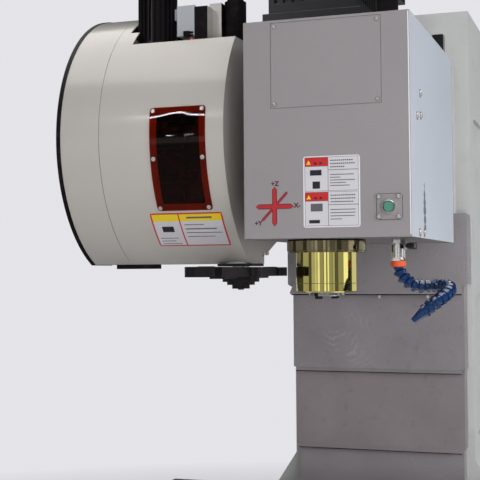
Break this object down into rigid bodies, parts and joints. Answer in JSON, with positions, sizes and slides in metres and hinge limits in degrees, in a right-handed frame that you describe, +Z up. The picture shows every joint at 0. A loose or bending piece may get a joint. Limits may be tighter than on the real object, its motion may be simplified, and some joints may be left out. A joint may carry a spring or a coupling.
{
  "type": "vertical machining centre",
  "caption": "Vertical milling machine with boxed spindle head, disc tool magazine with window, double tool change arm, slotted cross table and telescopic way covers.",
  "frame": {"origin": "on the floor, under the middle of the machine's bounding box; the spindle axis is at x = 0, y = -0.3550 m", "axes": "+X to the operator's right along the table, +Y from the front to the column, +Z up"},
  "size_m": [2.45, 2.37, 2.5],
  "materials": {
    "machine_casting": "painted light grey",
    "head_paint": "fine textured grey paint",
    "cover_paint": "satin grey paint",
    "drum_paint": "warm beige grey paint",
    "cabinet_paint": "light blue grey paint",
    "black_paint": "satin black paint",
    "ground_steel": "ground",
    "dark_steel": "dark grey paint",
    "gold_nose": "turned and plated gold yellow",
    "flange_steel": "turned, bronze tinted",
    "amber_pane": "smoked amber",
    "green_button": "gloss green",
    "orange_collar": "gloss orange",
    "blue_hose": "gloss blue",
    "black_plastic": "matt black",
    "disc_paint": "dark violet blue paint"
  },
  "bodies": {
    "machine": {"base_casting": "machine_casting", "levelling_feet": "dark_steel", "linear_rails": "ground_steel", "column": "machine_casting", "axis_motors": "black_paint", "fixed_covers": "cover_paint", "magazine_bracket": "machine_casting", "magazine_cover": "drum_paint", "cover_trim": "black_plastic", "window_pane": "amber_pane", "cam_box": "machine_casting", "arm_motor": "black_paint", "magazine_motor": "black_paint", "junction_box": "cabinet_paint", "cabinet": "cabinet_paint", "control_modules": "dark_steel"},
    "saddle_unit": {"saddle": "machine_casting", "saddle_blocks": "dark_steel", "x_rails": "ground_steel", "x_motor": "black_paint", "saddle_covers": "cover_paint"},
    "y_cover": {"y_cover_mid": "cover_paint"},
    "y_ball_screw": {"y_screw": "ground_steel"},
    "table_unit": {"table": "ground_steel", "table_blocks": "dark_steel", "table_covers": "cover_paint"},
    "x_cover": {"x_cover_mid": "cover_paint"},
    "x_ball_screw": {"x_screw": "ground_steel"},
    "head": {"head_casting": "machine_casting", "head_blocks": "dark_steel", "head_cover": "head_paint", "access_panel": "head_paint", "spindle_flange": "flange_steel", "spindle_housing": "gold_nose", "nose_cap": "gold_nose", "spindle_motor": "dark_steel", "button_plate": "ground_steel", "coolant_valve": "ground_steel", "z_cover_1": "cover_paint"},
    "way_cover_2": {"z_cover_2": "cover_paint"},
    "way_cover_3": {"z_cover_3": "cover_paint"},
    "z_ball_screw": {"z_screw": "ground_steel"},
    "spindle": {"spindle_shaft": "ground_steel", "drive_keys": "black_plastic", "motor_coupling": "dark_steel"},
    "draw_bar": {"drawbar": "ground_steel"},
    "button": {"push_button": "green_button"},
    "lever": {"valve_lever": "black_plastic"},
    "hose": {"hose_collar": "orange_collar", "coolant_hose": "blue_hose"},
    "magazine": {"magazine_disc": "disc_paint", "tool_pots": "black_plastic"},
    "flip_pot": {"change_pot": "black_plastic"},
    "arm_drive": {"drive_sleeve": "ground_steel"},
    "arm": {"arm_shaft": "ground_steel", "change_arm": "black_paint"},
    "door": {"cabinet_door": "cabinet_paint"},
    "handle": {"door_handle": "black_plastic"}
  },
  "joints": [
    {"name": "y_slide", "type": "slide", "parent": "machine", "child": "saddle_unit", "axis": [0, 1, 0], "range_m": [-0.25, 0.25]},
    {"name": "y_cover_slide", "type": "slide", "parent": "machine", "child": "y_cover", "axis": [0, 1, 0], "range_m": [-0.125, 0.125]},
    {"name": "y_screw_turn", "type": "hinge", "parent": "machine", "child": "y_ball_screw", "pos_m": [0, -0.355, 0.578], "axis": [0, 1, 0], "range_deg": [-7600, 7600]},
    {"name": "x_slide", "type": "slide", "parent": "saddle_unit", "child": "table_unit", "axis": [1, 0, 0], "range_m": [-0.35, 0.35]},
    {"name": "x_cover_slide", "type": "slide", "parent": "saddle_unit", "child": "x_cover", "axis": [1, 0, 0], "range_m": [-0.175, 0.175]},
    {"name": "x_screw_turn", "type": "hinge", "parent": "saddle_unit", "child": "x_ball_screw", "pos_m": [0, -0.355, 0.735], "axis": [1, 0, 0], "range_deg": [-10600, 10600]},
    {"name": "z_slide", "type": "slide", "parent": "machine", "child": "head", "axis": [0, 0, 1], "range_m": [-0.4, 0.11]},
    {"name": "z_cover_2_slide", "type": "slide", "parent": "machine", "child": "way_cover_2", "axis": [0, 0, 1], "range_m": [-0.267, 0.0734]},
    {"name": "z_cover_3_slide", "type": "slide", "parent": "machine", "child": "way_cover_3", "axis": [0, 0, 1], "range_m": [-0.1335, 0.0367]},
    {"name": "z_screw_turn", "type": "hinge", "parent": "machine", "child": "z_ball_screw", "pos_m": [0, 0.325, 1.5], "axis": [0, 0, 1], "range_deg": [-12100, 3400]},
    {"name": "spindle_turn", "type": "hinge", "parent": "head", "child": "spindle", "pos_m": [0, -0.355, 1.4], "axis": [0, 0, 1], "continuous": true},
    {"name": "drawbar_slide", "type": "slide", "parent": "spindle", "child": "draw_bar", "axis": [0, 0, 1], "range_m": [-0.006, 0], "stiffness_N_per_m": 20000, "springref_m": 0.0005},
    {"name": "button_press", "type": "slide", "parent": "head", "child": "button", "axis": [0, 1, 0], "range_m": [0, 0.003], "stiffness_N_per_m": 600, "springref_m": -0.001},
    {"name": "valve_turn", "type": "hinge", "parent": "head", "child": "lever", "pos_m": [0.1983, -0.355, 1.511], "axis": [1, 0, 0], "range_deg": [0, 90]},
    {"name": "hose_swivel", "type": "hinge", "parent": "head", "child": "hose", "pos_m": [0.178, -0.355, 1.469], "axis": [0, 0, 1], "range_deg": [-40, 60]},
    {"name": "magazine_turn", "type": "hinge", "parent": "machine", "child": "magazine", "pos_m": [-0.62, -0.091, 1.803], "axis": [1, 0, 0], "continuous": true},
    {"name": "pot_flip", "type": "hinge", "parent": "magazine", "child": "flip_pot", "pos_m": [-0.496, -0.091, 1.609], "axis": [0, 1, 0], "range_deg": [0, 90]},
    {"name": "arm_turn", "type": "hinge", "parent": "machine", "child": "arm_drive", "pos_m": [-0.27, -0.223, 1.5], "axis": [0, 0, 1], "range_deg": [0, 37]},
    {"name": "arm_lift", "type": "slide", "parent": "arm_drive", "child": "arm", "axis": [0, 0, 1], "range_m": [-0.115, 0]},
    {"name": "door_swing", "type": "hinge", "parent": "machine", "child": "door", "pos_m": [-0.363, 1.123, 1.3], "axis": [0, 0, 1], "range_deg": [0, 110]},
    {"name": "handle_turn", "type": "hinge", "parent": "door", "child": "handle", "pos_m": [0.305, 1.157, 1.305], "axis": [0, 1, 0], "range_deg": [0, 90]}
  ],
  "couplings": [
    {"joint": "y_cover_slide", "follows": "y_slide", "ratio": 0.5},
    {"joint": "y_screw_turn", "follows": "y_slide", "rad_per_m": 523.6},
    {"joint": "x_cover_slide", "follows": "x_slide", "ratio": 0.5},
    {"joint": "x_screw_turn", "follows": "x_slide", "rad_per_m": 523.6},
    {"joint": "z_cover_2_slide", "follows": "z_slide", "ratio": 0.6667},
    {"joint": "z_cover_3_slide", "follows": "z_slide", "ratio": 0.3333},
    {"joint": "z_screw_turn", "follows": "z_slide", "rad_per_m": 523.6}
  ]
}
